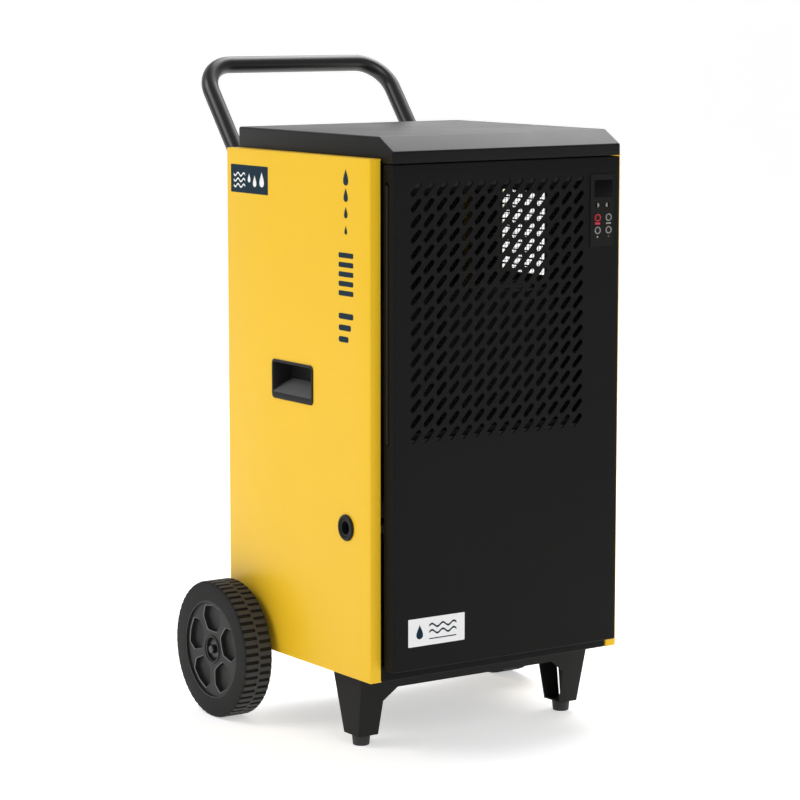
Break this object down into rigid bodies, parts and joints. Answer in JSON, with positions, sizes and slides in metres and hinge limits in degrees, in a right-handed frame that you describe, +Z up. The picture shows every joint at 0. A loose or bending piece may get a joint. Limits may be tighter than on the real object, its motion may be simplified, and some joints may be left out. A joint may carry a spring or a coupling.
{
  "type": "dehumidifier",
  "caption": "Wheeled commercial dehumidifier: sheet-steel casing with slotted front inlet, push handle, leg bracket, sliding air filter, buttons, fan, coils and compressor.",
  "frame": {"origin": "middle of the bounding box, on the floor", "axes": "+Z up, the slotted front panel faces -Y, +X to the right of somebody standing in front of it"},
  "size_m": [0.54, 0.5697, 0.9528],
  "materials": {
    "yellow_paint": "satin powder coat on steel sheet",
    "black_paint": "fine-textured black powder coat",
    "leg_paint": "fine-textured black powder coat on thicker sheet",
    "handle_paint": "satin black coat on steel tube",
    "zinc_steel": "zinc-plated steel",
    "copper": "bare copper tube",
    "coil_aluminium": "aluminium fins",
    "compressor_paint": "gloss black enamel",
    "tyre_rubber": "moulded grey-black rubber",
    "rim_plastic": "moulded plastic, satin",
    "black_plastic": "moulded black plastic, light texture",
    "grey_plastic": "moulded grey plastic",
    "hose_plastic": "milky soft hose",
    "foot_rubber": "moulded rubber",
    "filter_mesh": "woven plastic net",
    "circuit_board": "green solder mask",
    "control_foil": "printed black foil",
    "display_gloss": "smoked gloss window",
    "lamp_white": "milky lamp window",
    "button_red": "red ring button",
    "button_white": "white ring button"
  },
  "bodies": {
    "cabinet": {"base_pan": "black_paint", "front_leg_bracket": "leg_paint", "foot_left": "foot_rubber", "foot_right": "foot_rubber", "axle": "zinc_steel", "axle_bracket_left": "leg_paint", "axle_bracket_right": "leg_paint", "axle_clip_left": "zinc_steel", "axle_clip_right": "zinc_steel", "grip_cup_left": "black_plastic", "grip_cup_right": "black_plastic", "compressor": "compressor_paint", "compressor_mount_left": "foot_rubber", "compressor_mount_right": "foot_rubber", "compressor_mount_rear": "foot_rubber", "accumulator": "copper", "electrical_box": "grey_plastic", "chassis_post": "zinc_steel", "drip_tray": "grey_plastic", "evaporator_coil": "coil_aluminium", "condenser_coil": "coil_aluminium", "fan_shroud": "black_paint", "fan_motor": "zinc_steel", "motor_bracket": "zinc_steel", "suction_pipe": "copper", "discharge_pipe": "copper", "drain_hose": "hose_plastic", "left_side_panel": "yellow_paint", "right_side_panel": "yellow_paint", "drain_port_bushing": "black_plastic", "drain_spigot": "black_plastic", "outlet_guard": "black_paint", "filter_rail_lower": "black_plastic", "filter_rail_upper": "black_plastic", "front_panel": "black_paint", "control_board": "circuit_board", "control_plate": "control_foil", "display_lens": "display_gloss", "indicator_left": "lamp_white", "indicator_right": "lamp_white", "rear_panel": "black_paint", "mains_inlet_gland": "black_plastic", "handle_tube": "handle_paint", "handle_strap_upper": "leg_paint", "handle_strap_lower": "leg_paint", "top_cover": "black_paint"},
    "wheel_left": {"tyre_left": "tyre_rubber", "rim_left": "rim_plastic"},
    "wheel_right": {"tyre_right": "tyre_rubber", "rim_right": "rim_plastic"},
    "fan": {"fan_impeller": "black_plastic"},
    "air_filter": {"filter_frame": "black_plastic", "filter_net": "filter_mesh"},
    "power_push": {"power_button": "button_red"},
    "mode_push": {"mode_button": "button_white"},
    "minus_push": {"minus_button": "button_white"},
    "plus_push": {"plus_button": "button_white"}
  },
  "joints": [
    {"name": "wheel_left_spin", "type": "hinge", "parent": "cabinet", "child": "wheel_left", "pos_m": [-0.2475, 0.07835, 0.1], "axis": [1, 0, 0], "continuous": true},
    {"name": "wheel_right_spin", "type": "hinge", "parent": "cabinet", "child": "wheel_right", "pos_m": [0.2475, 0.07835, 0.1], "axis": [1, 0, 0], "continuous": true},
    {"name": "fan_spin", "type": "hinge", "parent": "cabinet", "child": "fan", "pos_m": [-0.02, -0.08765, 0.487], "axis": [0, 1, 0], "continuous": true},
    {"name": "filter_slide", "type": "slide", "parent": "cabinet", "child": "air_filter", "axis": [-1, 0, 0], "range_m": [0, 0.37]},
    {"name": "power_press", "type": "slide", "parent": "cabinet", "child": "power_push", "axis": [0, 1, 0], "range_m": [0, 0.001], "stiffness_N_per_m": 1200},
    {"name": "mode_press", "type": "slide", "parent": "cabinet", "child": "mode_push", "axis": [0, 1, 0], "range_m": [0, 0.001], "stiffness_N_per_m": 1200},
    {"name": "minus_press", "type": "slide", "parent": "cabinet", "child": "minus_push", "axis": [0, 1, 0], "range_m": [0, 0.001], "stiffness_N_per_m": 1200},
    {"name": "plus_press", "type": "slide", "parent": "cabinet", "child": "plus_push", "axis": [0, 1, 0], "range_m": [0, 0.001], "stiffness_N_per_m": 1200}
  ]
}
